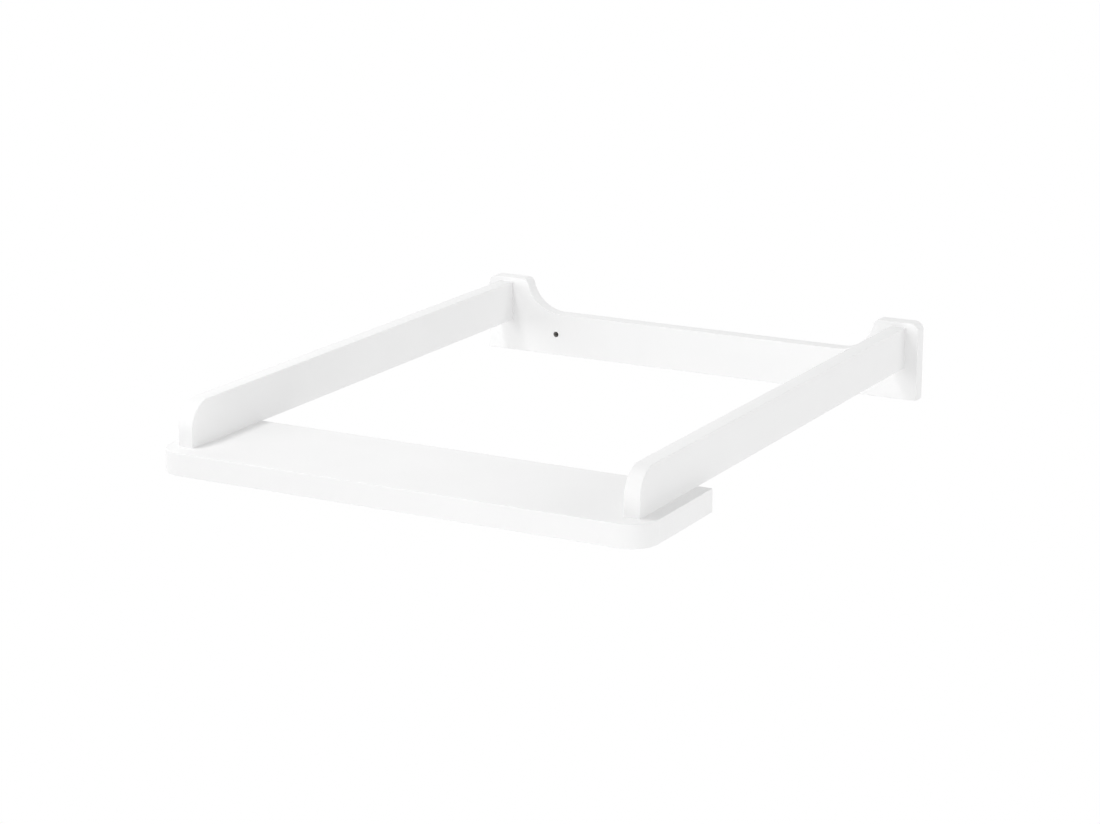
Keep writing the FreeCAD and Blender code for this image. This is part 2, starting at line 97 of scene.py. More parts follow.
class LacquerSettings(bpy.types.PropertyGroup):
    """Finish of the four boards."""
    colour: bpy.props.FloatVectorProperty(
        name="Lacquer colour", description="Colour of the white lacquer",
        default=(0.85, 0.85, 0.85), min=0.0, max=1.0, subtype="COLOR")
    roughness: bpy.props.FloatProperty(
        name="Lacquer roughness", description="Mean roughness of the satin lacquer",
        default=0.55, min=0.0, max=1.0, subtype="FACTOR")
    peel_size: bpy.props.FloatProperty(
        name="Orange peel size", description="Width of one dimple of the sprayed lacquer",
        default=2.4 * MM, min=0.1 * MM, unit="LENGTH")
    peel_depth: bpy.props.FloatProperty(
        name="Orange peel depth", description="Depth of the dimples of the sprayed lacquer",
        default=0.016 * MM, min=0.0, unit="LENGTH")
    # Bare board in the drilled holes, set to a dark neutral grey that is partly painted shade of the
    # holes
    core_and_shade_colour: bpy.props.FloatVectorProperty(
        name="Core colour", description="Colour of the bare board inside a drilled hole",
        default=(0.42, 0.41, 0.395), min=0.0, max=1.0, subtype="COLOR")


class FastenerSettings(bpy.types.PropertyGroup):
    """Threads and finish of the bolts, inserts and barrel nuts."""
    bolt_pitch: bpy.props.FloatProperty(
        name="Bolt pitch", description="Rise of the bolt's thread in one turn",
        default=1.0 * MM, min=0.2 * MM, unit="LENGTH")
    bolt_thread_depth: bpy.props.FloatProperty(
        name="Bolt thread depth", description="Crest to root of the bolt's thread",
        default=0.54 * MM, min=0.0, unit="LENGTH")
    bolt_thread_length: bpy.props.FloatProperty(
        name="Bolt thread length", description="Threaded length, from the tip of the bolt",
        default=20.0 * MM, min=2.0 * MM, unit="LENGTH")
    socket_width: bpy.props.FloatProperty(
        name="Socket width", description="Bolt's hexagon socket, across its flats",
        default=4.0 * MM, min=1.0 * MM, unit="LENGTH")
    insert_pitch: bpy.props.FloatProperty(
        name="Insert pitch", description="Rise of the insert's wood thread in one turn",
        default=2.8 * MM, min=0.5 * MM, unit="LENGTH")
    insert_thread_depth: bpy.props.FloatProperty(
        name="Insert thread depth", description="Crest to root of the insert's wood thread",
        default=0.9 * MM, min=0.0, unit="LENGTH")
    drive_width: bpy.props.FloatProperty(
        name="Insert drive width", description="Insert's hexagon drive, across its flats",
        default=6.6 * MM, min=1.0 * MM, unit="LENGTH")
    steel_colour: bpy.props.FloatVectorProperty(
        name="Steel colour", description="Colour of the bright zinc plating",
        default=(0.66, 0.67, 0.68), min=0.0, max=1.0, subtype="COLOR")
    steel_roughness: bpy.props.FloatProperty(
        name="Steel roughness", description="Mean roughness of the plated steel",
        default=0.3, min=0.0, max=1.0, subtype="FACTOR")
    alloy_colour: bpy.props.FloatVectorProperty(
        name="Alloy colour", description="Colour of the cast zinc alloy",
        default=(0.55, 0.55, 0.54), min=0.0, max=1.0, subtype="COLOR")
    alloy_roughness: bpy.props.FloatProperty(
        name="Alloy roughness", description="Mean roughness of the cast zinc alloy",
        default=0.46, min=0.0, max=1.0, subtype="FACTOR")


class DowelSettings(bpy.types.PropertyGroup):
    """Finish of the dowels."""
    pale_colour: bpy.props.FloatVectorProperty(
        name="Early wood colour", description="Paler bands of the beech",
        default=(0.68, 0.49, 0.32), min=0.0, max=1.0, subtype="COLOR")
    dark_colour: bpy.props.FloatVectorProperty(
        name="Late wood colour", description="Darker bands of the beech",
        default=(0.55, 0.36, 0.21), min=0.0, max=1.0, subtype="COLOR")
    fleck_colour: bpy.props.FloatVectorProperty(
        name="Fleck colour", description="Short dark rays in the beech",
        default=(0.33, 0.18, 0.09), min=0.0, max=1.0, subtype="COLOR")


class StageSettings(bpy.types.PropertyGroup):
    """Floor, light and camera."""
    floor_drop: bpy.props.FloatProperty(
        name="Floor drop", description="Floor below the frame's origin, the height of a dresser",
        default=0.9, min=0.05, unit="LENGTH")
    floor_colour: bpy.props.FloatVectorProperty(
        name="Floor colour", description="Colour that the floor reflects on to the part",
        default=(0.8, 0.8, 0.8), min=0.0, max=1.0, subtype="COLOR")
    ambient: bpy.props.FloatProperty(
        name="Ambient level", description="Even light from all round the part",
        default=0.626, min=0.0)
    overhead_power: bpy.props.FloatProperty(
        name="Overhead softbox", description="Power of the softbox above the part, towards its left",
        default=7.6, min=0.0, unit="POWER")
    front_left_power: bpy.props.FloatProperty(
        name="Front left softbox", description="Power of the softbox in front of the part on the left",
        default=67.0, min=0.0, unit="POWER")
    left_power: bpy.props.FloatProperty(
        name="Left softbox", description="Power of the softbox beside the part on the left",
        default=4.4, min=0.0, unit="POWER")
    rear_left_power: bpy.props.FloatProperty(
        name="Rear left softbox", description="Power of the softbox behind the part on the left",
        default=3.6, min=0.0, unit="POWER")
    rear_right_power: bpy.props.FloatProperty(
        name="Rear right softbox", description="Power of the softbox behind the part on the right",
        default=11.6, min=0.0, unit="POWER")
    right_power: bpy.props.FloatProperty(
        name="Right softbox", description="Power of the softbox beside the part on the right",
        default=8.4, min=0.0, unit="POWER")
    low_power: bpy.props.FloatProperty(
        name="Low softbox", description="Power of the softbox in front of the part and below it",
        default=6.5, min=0.0, unit="POWER")
    under_power: bpy.props.FloatProperty(
        name="Light table", description="Power of the lit surface under the part",
        default=1.8, min=0.0, unit="POWER")
    camera_place: bpy.props.FloatVectorProperty(
        name="Camera place", description="Where the camera stands",
        default=(1.4033, -2.93766, 0.79314), subtype="TRANSLATION", unit="LENGTH")
    camera_azimuth: bpy.props.FloatProperty(
        name="Camera azimuth", description="Camera's turn to the part's right",
        default=math.radians(28.5993), subtype="ANGLE")
    camera_elevation: bpy.props.FloatProperty(
        name="Camera elevation", description="How far down the camera looks",
        default=math.radians(14.9509), subtype="ANGLE")
    camera_lens: bpy.props.FloatProperty(
        name="Camera lens", description="Focal length for a picture 36 mm wide",
        default=90.848, min=1.0, unit="CAMERA")


class ChangingTopSettings(bpy.types.PropertyGroup):
    """All settings of the changing top."""
    lacquer: bpy.props.PointerProperty(
        type=LacquerSettings, name="Lacquer", description="Finish of the boards")
    fasteners: bpy.props.PointerProperty(
        type=FastenerSettings, name="Fasteners", description="Threads and finish of the fasteners")
    dowels: bpy.props.PointerProperty(
        type=DowelSettings, name="Dowels", description="Finish of the dowels")
    stage: bpy.props.PointerProperty(
        type=StageSettings, name="Stage", description="Floor, light and camera")


# Shader nodes

def put(tree, socket, value):
    """Links a socket to an input, or gives the input its own value."""
    if isinstance(value, bpy.types.NodeSocket):
        tree.links.new(value, socket)
    else:
        socket.default_value = value


def add_node(tree, kind, values=None, **settings):
    """Adds a node with its settings, then its input values."""
    made = tree.nodes.new(kind)
    for name, setting in settings.items():
        setattr(made, name, setting)
    for name, value in (values or {}).items():
        put(tree, made.inputs[name], value)
    return made


def add_group(tree, group, values):
    """Places a node group with its own values."""
    return add_node(tree, "ShaderNodeGroup", values, node_tree=group).outputs


def add_math(tree, operation, first, second=0.0):
    """Result of one Math node."""
    return add_node(tree, "ShaderNodeMath", {0: first, 1: second}, operation=operation).outputs[0]


def add_vector_math(tree, operation, first, second=ORIGIN):
    """Result of one Vector Math node: a value for a length or a dot product, or else a vector."""
    made = add_node(tree, "ShaderNodeVectorMath", {0: first, 1: second}, operation=operation)
    return made.outputs["Value" if operation in ("LENGTH", "DOT_PRODUCT") else "Vector"]


def add_mix(tree, share, first, second):
    """Value between two values."""
    return add_node(tree, "ShaderNodeMix", {"Factor": share, "A": first, "B": second}).outputs[0]


def add_colour_mix(tree, share, first, second):
    """Colour between two colours."""
    mixed = add_node(tree, "ShaderNodeMix", data_type="RGBA")
    colours = [socket for socket in mixed.inputs if socket.type == "RGBA"]
    for socket, value in zip([mixed.inputs["Factor"]] + colours, (share, first, second)):
        put(tree, socket, value)
    return next(socket for socket in mixed.outputs if socket.type == "RGBA")


def add_range(tree, value, source, result, curve="LINEAR"):
    """A value moved from one range to another and held inside it."""
    limits = {"Value": value, "From Min": source[0], "From Max": source[1],
              "To Min": result[0], "To Max": result[1]}
    return add_node(tree, "ShaderNodeMapRange", limits, interpolation_type=curve).outputs["Result"]


def add_scaled(tree, colour, shade):
    """A colour times a value near 1."""
    made = add_node(tree, "ShaderNodeVectorMath", {0: colour, "Scale": shade}, operation="SCALE")
    return made.outputs["Vector"]


def opaque(colour):
    """A colour with full alpha."""
    return (*colour, 1.0)


def new_group(name, inputs, outputs):
    """An empty shader node group with its named sockets, and its two end nodes."""
    group = bpy.data.node_groups.new(name, "ShaderNodeTree")
    for socket, kind, default in inputs:
        made = group.interface.new_socket(name=socket, in_out="INPUT", socket_type=kind)
        made.default_value = default
    for socket in outputs:
        group.interface.new_socket(name=socket, in_out="OUTPUT", socket_type="NodeSocketFloat")
    return group, group.nodes.new("NodeGroupInput").outputs, group.nodes.new("NodeGroupOutput").inputs


def mottle_group():
    """Uneven cloud of one grain size: Shade varies about 1, and Height runs from 0 to 1."""
    if "mottle" in bpy.data.node_groups:
        return bpy.data.node_groups["mottle"]
    sockets = (
        ("Position", "NodeSocketVector", ORIGIN),
        ("Size", "NodeSocketFloat", 1.0 * MM),
        ("Contrast", "NodeSocketFloat", 0.1),
    )
    group, given, result = new_group("mottle", sockets, ("Shade", "Height"))
    scale = add_math(group, "DIVIDE", 1.0, given["Size"])
    cloud = add_node(group, "ShaderNodeTexNoise", {
        "Vector": given["Position"], "Scale": scale, "Detail": 3.0, "Roughness": 0.5})
    cloud_range = (0.3, 0.7)
    height = add_range(group, cloud.outputs["Fac"], cloud_range, ZERO_TO_ONE, "SMOOTHSTEP")
    mean_height = 0.5
    off_mean = add_math(group, "SUBTRACT", height, mean_height)
    swing = add_math(group, "MULTIPLY", off_mean, given["Contrast"])
    put(group, result["Shade"], add_math(group, "ADD", swing, 1.0))
    put(group, result["Height"], height)
    return group


def add_mottle(tree, position, size, contrast):
    """Places one cloud with grains of the given size."""
    return add_group(tree, mottle_group(), {"Position": position, "Size": size, "Contrast": contrast})


def bore_group():
    """Mask of the walls of one drilled hole and of its mirror image on the other side."""
    if "bore mask" in bpy.data.node_groups:
        return bpy.data.node_groups["bore mask"]
    sockets = (
        ("Position", "NodeSocketVector", ORIGIN),
        ("Centre", "NodeSocketVector", ORIGIN),
        ("Axis", "NodeSocketVector", UP),
        ("Radius", "NodeSocketFloat", 4.0 * MM),
        ("Low", "NodeSocketFloat", 0.0),
        ("High", "NodeSocketFloat", 10.0 * MM),
    )
    group, given, result = new_group("bore mask", sockets, ("Mask",))
    place = add_node(group, "ShaderNodeSeparateXYZ", {0: given["Position"]}).outputs
    folded = add_node(group, "ShaderNodeCombineXYZ", {
        "X": add_math(group, "ABSOLUTE", place["X"]), "Y": place["Y"], "Z": place["Z"]}).outputs[0]
    along = add_vector_math(group, "DOT_PRODUCT", folded, given["Axis"])
    offset = add_vector_math(group, "SUBTRACT", folded, given["Centre"])
    plane = add_vector_math(group, "SUBTRACT", (1.0, 1.0, 1.0), given["Axis"])
    distance = add_vector_math(group, "LENGTH", add_vector_math(group, "MULTIPLY", offset, plane))
    near = add_math(group, "LESS_THAN", distance, given["Radius"])
    past_low = add_math(group, "GREATER_THAN", along, given["Low"])
    before_high = add_math(group, "LESS_THAN", along, given["High"])
    between = add_math(group, "MULTIPLY", past_low, before_high)
    put(group, result["Mask"], add_math(group, "MULTIPLY", near, between))
    return group


def grain_group():
    """Straight wood grain: Band is the growth rings, Fleck the short rays, Height the surface."""
    if "straight grain" in bpy.data.node_groups:
        return bpy.data.node_groups["straight grain"]
    sockets = (
        ("Position", "NodeSocketVector", ORIGIN),
        ("Stretch", "NodeSocketVector", (1.0, 1.0, 0.1)),
        ("Ring Width", "NodeSocketFloat", 2.0 * MM),
        ("Fleck Width", "NodeSocketFloat", 0.3 * MM),
    )
    group, given, result = new_group("straight grain", sockets, ("Band", "Fleck", "Height"))
    drawn = add_vector_math(group, "MULTIPLY", given["Position"], given["Stretch"])
    rings = add_node(group, "ShaderNodeTexNoise", {
        "Vector": drawn, "Scale": add_math(group, "DIVIDE", 1.0, given["Ring Width"]),
        "Detail": 4.0, "Roughness": 0.55, "Distortion": 0.4})
    rays = add_node(group, "ShaderNodeTexNoise", {
        "Vector": drawn, "Scale": add_math(group, "DIVIDE", 1.0, given["Fleck Width"]),
        "Detail": 1.0, "Roughness": 0.4})
    ring_range = (0.35, 0.65)
    ray_range = (0.6, 0.7)
    band = add_range(group, rings.outputs["Fac"], ring_range, ZERO_TO_ONE, "SMOOTHSTEP")
    fleck = add_range(group, rays.outputs["Fac"], ray_range, ZERO_TO_ONE, "SMOOTHSTEP")
    put(group, result["Band"], band)
    put(group, result["Fleck"], fleck)
    put(group, result["Height"], add_math(group, "SUBTRACT", 1.0, fleck))
    return group


# Materials

def new_material(name):
    """A node material's tree with its Principled shader, and the piece's own coordinates."""
    made = bpy.data.materials.new(name)
    made.use_nodes = True
    tree = made.node_tree
    shader = tree.nodes["Principled BSDF"]
    position = tree.nodes.new("ShaderNodeTexCoord").outputs["Object"]
    return made, tree, shader, position


def add_bump(tree, height, depth):
    """Normal of a surface whose height runs from 0 to 1 over a depth in metres."""
    bump = add_node(tree, "ShaderNodeBump", {"Height": height, "Distance": depth, "Strength": 1.0})
    return bump.outputs["Normal"]


def middle(node):
    """Centre of a CAD node's box."""
    low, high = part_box(node)
    return (low + high) / 2


def drilled_holes():
    """Every hole on the right: centre, axis, radius, and where it starts and ends along the axis."""
    skin = 0.04 * MM
    end_gap = 2.0 * MM
    head_radius = 8.0 * MM
    head_height = 2.6 * MM
    shank_radius = 3.25 * MM
    sleeve_radius = 5.1 * MM
    dowel_radius = 4.1 * MM
    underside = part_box("front_board")[0].z + skin
    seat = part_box("right_rail")[0].z
    rear_low, rear_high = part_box("back_board")
    holes = []
    for place in PLACES:
        bolt = f"right_front_bolt_{place}"
        holes.append((middle(bolt), UP, head_radius, underside, seat))
        holes.append((middle(bolt), UP, sleeve_radius, seat - skin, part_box(bolt)[1].z + end_gap))
        dowel = f"right_front_dowel_{place}"
        low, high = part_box(dowel)
        holes.append((middle(dowel), UP, dowel_radius, low.z - end_gap, high.z + end_gap))
        dowel = f"right_rear_dowel_{place}"
        low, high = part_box(dowel)
        holes.append((middle(dowel), BACKWARD, dowel_radius, low.y - end_gap, high.y + end_gap))
    nut = "right_barrel_nut"
    holes.append((middle(nut), UP, sleeve_radius, seat + skin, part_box(nut)[1].z + end_gap))
    bolt = "right_rear_bolt"
    low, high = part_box(bolt)
    head_seat = high.y - head_height
    holes.append((middle(bolt), BACKWARD, head_radius, head_seat, rear_high.y - skin))
    holes.append((middle(bolt), BACKWARD, shank_radius, low.y - end_gap, head_seat))
    fixing = next(mount for mount in frame["record"]["mounts"] if mount["name"] == "dresser_fixing")
    centre = Vector(fixing["pos_m"]) + Vector((fixing["dims"]["spacing_x_mm"] * MM / 2, 0.0, 0.0))
    fixing_radius = fixing["dims"]["hole_r_mm"] * MM
    holes.append((centre, BACKWARD, fixing_radius, rear_low.y + skin, rear_high.y - skin))
    return holes


def bare_and_shaded_walls(tree, position):
    """Mask of the walls of every drilled hole, which take the bare board and its painted shade."""
    slack = 0.03 * MM
    bare = None
    for centre, axis, radius, low, high in drilled_holes():
        mask = add_group(tree, bore_group(), {
            "Position": position, "Centre": centre, "Axis": axis, "Radius": radius + slack,
            "Low": low, "High": high})["Mask"]
        bare = mask if bare is None else add_math(tree, "MAXIMUM", bare, mask)
    return bare


def white_lacquer():
    """Sprayed satin lacquer with fine orange peel, and the bare board in the drilled holes, a darker
    neutral grey as painted shade of the holes.
    """
    if "white lacquer" in bpy.data.materials:
        return bpy.data.materials["white lacquer"]
    settings = bpy.context.scene.changing_top.lacquer
    made, tree, shader, position = new_material("white lacquer")
    haze_grains = 5
    haze_share = 0.18
    fibre_rise = 5.0
    bare_roughness = 0.9
    bare = bare_and_shaded_walls(tree, position)
    tone = add_mottle(tree, position, size=90.0 * MM, contrast=0.012)
    peel = add_mottle(tree, position, size=settings.peel_size, contrast=0.12)
    haze = add_mottle(tree, position, size=settings.peel_size / haze_grains, contrast=0.1)
    fibre = add_mottle(tree, position, size=0.5 * MM, contrast=0.5)
    lacquer = add_scaled(tree, settings.colour, tone["Shade"])
    # Hole walls: bare board fibre in a dark neutral grey, partly painted shade of the holes
    core_and_shade_tone = add_scaled(tree, settings.core_and_shade_colour, fibre["Shade"])
    put(tree, shader.inputs["Base Color"], add_colour_mix(tree, bare, lacquer, core_and_shade_tone))
    sheen = add_math(tree, "MULTIPLY", peel["Shade"], haze["Shade"])
    satin = add_math(tree, "MULTIPLY", sheen, settings.roughness)
    put(tree, shader.inputs["Roughness"], add_mix(tree, bare, satin, bare_roughness))
    haze_height = add_math(tree, "MULTIPLY", haze["Height"], haze_share)
    lacquer_height = add_math(tree, "ADD", peel["Height"], haze_height)
    core_height = add_math(tree, "MULTIPLY", fibre["Height"], fibre_rise)
    height = add_mix(tree, bare, lacquer_height, core_height)
    put(tree, shader.inputs["Normal"], add_bump(tree, height, settings.peel_depth))
    return made


def zinc_plated_steel():
    """Bright plated steel with turning marks round the axis and an uneven sheen."""
    if "zinc plated steel" in bpy.data.materials:
        return bpy.data.materials["zinc plated steel"]
    settings = bpy.context.scene.changing_top.fasteners
    made, tree, shader, position = new_material("zinc plated steel")
    mark_share = 0.5
    relief_depth = 0.004 * MM
    bloom = add_mottle(tree, position, size=3.0 * MM, contrast=0.14)
    grit = add_mottle(tree, position, size=0.25 * MM, contrast=0.5)
    marks = add_node(tree, "ShaderNodeTexWave", {
        "Vector": position, "Scale": 900.0, "Distortion": 0.6, "Detail": 1.0},
        wave_type="RINGS", rings_direction="Z")
    put(tree, shader.inputs["Base Color"], add_scaled(tree, settings.steel_colour, bloom["Shade"]))
    shine = add_math(tree, "MULTIPLY", grit["Shade"], bloom["Shade"])
    put(tree, shader.inputs["Roughness"], add_math(tree, "MULTIPLY", shine, settings.steel_roughness))
    mark_height = add_math(tree, "MULTIPLY", marks.outputs["Fac"], mark_share)
    relief = add_math(tree, "ADD", mark_height, grit["Height"])
    put(tree, shader.inputs["Normal"], add_bump(tree, relief, relief_depth))
    put(tree, shader.inputs["Metallic"], 1.0)
    return made


def zinc_alloy():
    """Dull cast zinc with a grainy skin."""
    if "zinc alloy" in bpy.data.materials:
        return bpy.data.materials["zinc alloy"]
    settings = bpy.context.scene.changing_top.fasteners
    made, tree, shader, position = new_material("zinc alloy")
    grain_depth = 0.012 * MM
    bloom = add_mottle(tree, position, size=2.0 * MM, contrast=0.22)
    grain = add_mottle(tree, position, size=0.4 * MM, contrast=0.3)
    put(tree, shader.inputs["Base Color"], add_scaled(tree, settings.alloy_colour, bloom["Shade"]))
    dullness = add_math(tree, "MULTIPLY", grain["Shade"], settings.alloy_roughness)
    put(tree, shader.inputs["Roughness"], dullness)
    put(tree, shader.inputs["Normal"], add_bump(tree, grain["Height"], grain_depth))
    put(tree, shader.inputs["Metallic"], 1.0)
    return made


def beech(name, stretch):
    """Bare beech with straight grain, its coordinates drawn out along the dowel."""
    if name in bpy.data.materials:
        return bpy.data.materials[name]
    settings = bpy.context.scene.changing_top.dowels
    made, tree, shader, position = new_material(name)
    fleck_share = 0.7
    band_roughness = (0.72, 0.6)
    grain_depth = 0.03 * MM
    pale = opaque(settings.pale_colour)
    dark = opaque(settings.dark_colour)
    deep = opaque(settings.fleck_colour)
    grain = add_group(tree, grain_group(), {
        "Position": position, "Stretch": stretch, "Ring Width": 2.2 * MM, "Fleck Width": 0.3 * MM})
    wear = add_mottle(tree, position, size=6.0 * MM, contrast=0.1)
    wood = add_colour_mix(tree, grain["Band"], pale, dark)
    flecks = add_math(tree, "MULTIPLY", grain["Fleck"], fleck_share)
    flecked = add_colour_mix(tree, flecks, wood, deep)
    put(tree, shader.inputs["Base Color"], add_scaled(tree, flecked, wear["Shade"]))
    put(tree, shader.inputs["Roughness"], add_range(tree, grain["Band"], ZERO_TO_ONE, band_roughness))
    put(tree, shader.inputs["Normal"], add_bump(tree, grain["Height"], grain_depth))
    return made


def finish_nodes(names, material):
    """Gives CAD nodes that keep their shape a finish."""
    for name in names:
        slots = frame["nodes"][name].data.materials
        slots.clear()
        slots.append(material)


# Turned and threaded pieces

BOLT_RADIUS = 3.0 * MM
SHARP_ANGLE = math.radians(28)


def ring(radius, height):
    """A level round row."""
    return lambda share: (radius, height)


def hexagon(width, height):
    """A level six-sided row, with its width across the flats."""
    sixth = FULL_TURN / 6

    def row(share):
        angle = (share * FULL_TURN) % sixth - sixth / 2
        return width / 2 / math.cos(angle), height
    return row


def thread_rows(low, high, pitch, profile, trim):
    """Rows of a right-hand thread. Its profile gives (share of the pitch, radius), and trim
    gives the radius left at a height. Heights outside low and high close up on the end rows."""
    rows = []
    for turn in range(math.floor(low / pitch) - 1, math.ceil(high / pitch) + 1):
        for start, radius in profile:
            def row(share, start=turn + start, radius=radius):
                height = min(max(pitch * (start + share), low), high)
                return trim(height, radius), height
            rows.append(row)
    return rows


def turned_piece(name, rows, segments=48):
    """A closed skin swept round its own Z axis through rows that give (radius, height). Corners
    that agree to one step are one corner."""
    steps_per_metre = 1e7
    skin = bmesh.new()
    corners = {}

    def corner(column, point):
        radius, height = point
        column = column % segments if radius * steps_per_metre > 1 else 0
        key = (column, round(radius * steps_per_metre), round(height * steps_per_metre))
        if key not in corners:
            angle = FULL_TURN * column / segments
            corners[key] = skin.verts.new((radius * math.cos(angle), radius * math.sin(angle), height))
        return corners[key]

    for column in range(segments):
        here = [corner(column, row(column / segments)) for row in rows]
        there = [corner(column + 1, row((column + 1) / segments)) for row in rows]
        for step in range(len(rows) - 1):
            face = dict.fromkeys((here[step], there[step], there[step + 1], here[step + 1]))
            if len(face) > 2:
                skin.faces.new(face)
    bmesh.ops.recalc_face_normals(skin, faces=skin.faces)
    mesh = bpy.data.meshes.new(name)
    skin.to_mesh(mesh)
    skin.free()
    mesh.shade_smooth()
    mesh.set_sharp_from_angle(angle=SHARP_ANGLE)
    piece = bpy.data.objects.new(name, mesh)
    bpy.context.scene.collection.objects.link(piece)
    return piece


def stand_in_for(piece, node, place, material):
    """Puts a piece where its CAD node is, and lets it take the node's place."""
    piece.matrix_world = place
    piece.data.materials.append(material)
    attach(piece, "root")
    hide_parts(node)


def bolt_profile(settings):
    """Thread profile with the standard flats on its crest and root."""
    crest_flat = 1 / 8
    root_flat = 1 / 4
    halfway = 1 / 2
    root = BOLT_RADIUS - settings.bolt_thread_depth
    return ((crest_flat / 2, BOLT_RADIUS), (halfway - root_flat / 2, root),
            (halfway + root_flat / 2, root), (1 - crest_flat / 2, BOLT_RADIUS))


def make_bolt(node, place, length):
    """Flat-headed bolt with a hexagon socket and a rolled thread. Its edges are given in mm, as
    pairs of a step off the radius and a step along the bolt."""
    settings = bpy.context.scene.changing_top.fasteners
    head_radius = 7.5 * MM
    head_height = 2.5 * MM
    tip_radius = 2.2 * MM
    socket = settings.socket_width
    socket_depth = 2.0 * MM
    socket_point = 0.5 * MM
    socket_taper = 0.98
    socket_chamfer = 0.2 * MM
    rim = ((0.9, 0.0), (0.5, 0.06), (0.2, 0.24), (0.0, 0.6))
    seat_edge = ((0.0, 0.3), (0.1, 0.1), (0.3, 0.0))
    neck = ((0.2, 0.0), (0.05, 0.06), (0.0, 0.2))
    thread_low = length - settings.bolt_thread_length

    def trim(height, radius):
        depth_share = min((height - thread_low) / settings.bolt_pitch, 1.0)
        return min(BOLT_RADIUS - (BOLT_RADIUS - radius) * depth_share, tip_radius + length - height)

    rows = [ring(0.0, socket_depth + socket_point), hexagon(socket * socket_taper, socket_depth),
            hexagon(socket, socket_chamfer), hexagon(socket + 2 * socket_chamfer, 0.0)]
    rows += [ring(head_radius - step * MM, along * MM) for step, along in rim]
    rows += [ring(head_radius - step * MM, head_height - along * MM) for step, along in seat_edge]
    rows += [ring(BOLT_RADIUS + step * MM, head_height + along * MM) for step, along in neck]
    rows += thread_rows(thread_low, length, settings.bolt_pitch, bolt_profile(settings), trim)
    rows += [ring(0.0, length)]
    piece = turned_piece(f"{node}_threaded", rows)
    stand_in_for(piece, node, place, zinc_plated_steel())


def make_insert(node):
    """Screw-in insert with a collar, a coarse wood thread, a hexagon drive and a threaded bore.
    Its rims are given in mm, as pairs of a step off the radius and a step along the insert."""
    settings = bpy.context.scene.changing_top.fasteners
    low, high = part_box(node)
    length = high.z - low.z
    crest = 5.0 * MM
    root = crest - settings.insert_thread_depth
    collar = 1.5 * MM
    collar_edge = 0.2 * MM
    nose = 3.9 * MM
    nose_slope = 0.4
    bore = 3.05 * MM
    bore_clearance = 0.05 * MM
    bore_chamfer = 0.3 * MM
    drive = settings.drive_width
    drive_depth = 3.2 * MM
    drive_floor = 0.1 * MM
    drive_taper = 0.98
    drive_chamfer = 0.15 * MM
    thread_gap = 0.4 * MM
    thread_low = collar + thread_gap
    thread_high = length - thread_gap
    bore_low = drive_depth + bore_chamfer
    bore_high = length - 2 * bore_chamfer
    collar_rim = ((0.3, 0.0), (0.08, 0.08), (0.0, 0.3))
    nose_rim = ((0.3, 0.1), (0.5, 0.0))
    wood_profile = ((0.0, root), (0.28, root), (0.44, crest), (0.56, crest), (0.72, root))

    def trim_outside(height, radius):
        depth_share = min((height - thread_low) / settings.insert_pitch, 1.0)
        return min(root + (radius - root) * depth_share, nose + (thread_high - height) * nose_slope)

    def trim_bore(height, radius):
        from_end = min(height - bore_low, bore_high - height)
        depth_share = min(from_end / settings.bolt_pitch, 1.0)
        return bore - (bore - radius - bore_clearance) * depth_share

    outside = thread_rows(thread_low, thread_high, settings.insert_pitch, wood_profile, trim_outside)
    inside = thread_rows(bore_low, bore_high, settings.bolt_pitch, bolt_profile(settings), trim_bore)
    rows = [hexagon(drive, drive_chamfer), hexagon(drive + 2 * drive_chamfer, 0.0)]
    rows += [ring(crest - step * MM, along * MM) for step, along in collar_rim]
    rows += [ring(crest, collar - collar_edge), ring(crest - collar_edge, collar),
             ring(root, collar + collar_edge)]
    rows += outside
    rows += [ring(nose - step * MM, length - along * MM) for step, along in nose_rim]
    rows += [ring(bore + bore_chamfer, length), ring(bore, bore_high + collar_edge)]
    rows += inside[::-1]
    rows += [ring(bore, drive_depth + drive_floor), hexagon(drive * drive_taper, drive_depth),
             hexagon(drive, drive_chamfer)]
    piece = turned_piece(f"{node}_threaded", rows)
    centre = middle(node)
    place = Matrix.Translation((centre.x, centre.y, low.z))
    stand_in_for(piece, node, place, zinc_alloy())


# Stage

# Each softbox has a name, the setting of its power, its place and its width, in metres.
SOFTBOXES = (
    ("overhead softbox", "overhead_power", (-0.55, -0.9, 1.4), 0.35),
    ("front left softbox", "front_left_power", (-2.6, -5.0, 1.0), 2.4),
    ("left softbox", "left_power", (-2.2, -0.3, 0.05), 1.2),
    ("rear left softbox", "rear_left_power", (-1.6, 1.8, 0.8), 1.5),
    ("rear right softbox", "rear_right_power", (2.0, 1.3, 0.9), 1.5),
    ("right softbox", "right_power", (2.5, -0.4, 0.6), 1.5),
    ("low softbox", "low_power", (0.8, -1.7, -0.6), 1.2),
    ("light table", "under_power", (0.0, -0.34, -0.8), 1.6),
)


def seen_ray(tree):
    """1 for a ray that shows the background itself, straight or in a reflection or through glass."""
    path = tree.nodes.new("ShaderNodeLightPath").outputs
    mirrored = add_math(tree, "MAXIMUM", path["Is Glossy Ray"], path["Is Transmission Ray"])
    return add_math(tree, "MAXIMUM", path["Is Camera Ray"], mirrored)


def mix_shaders(tree, share, first, second):
    """Shader between two shaders."""
    return add_node(tree, "ShaderNodeMixShader", {0: share, 1: first, 2: second}).outputs[0]


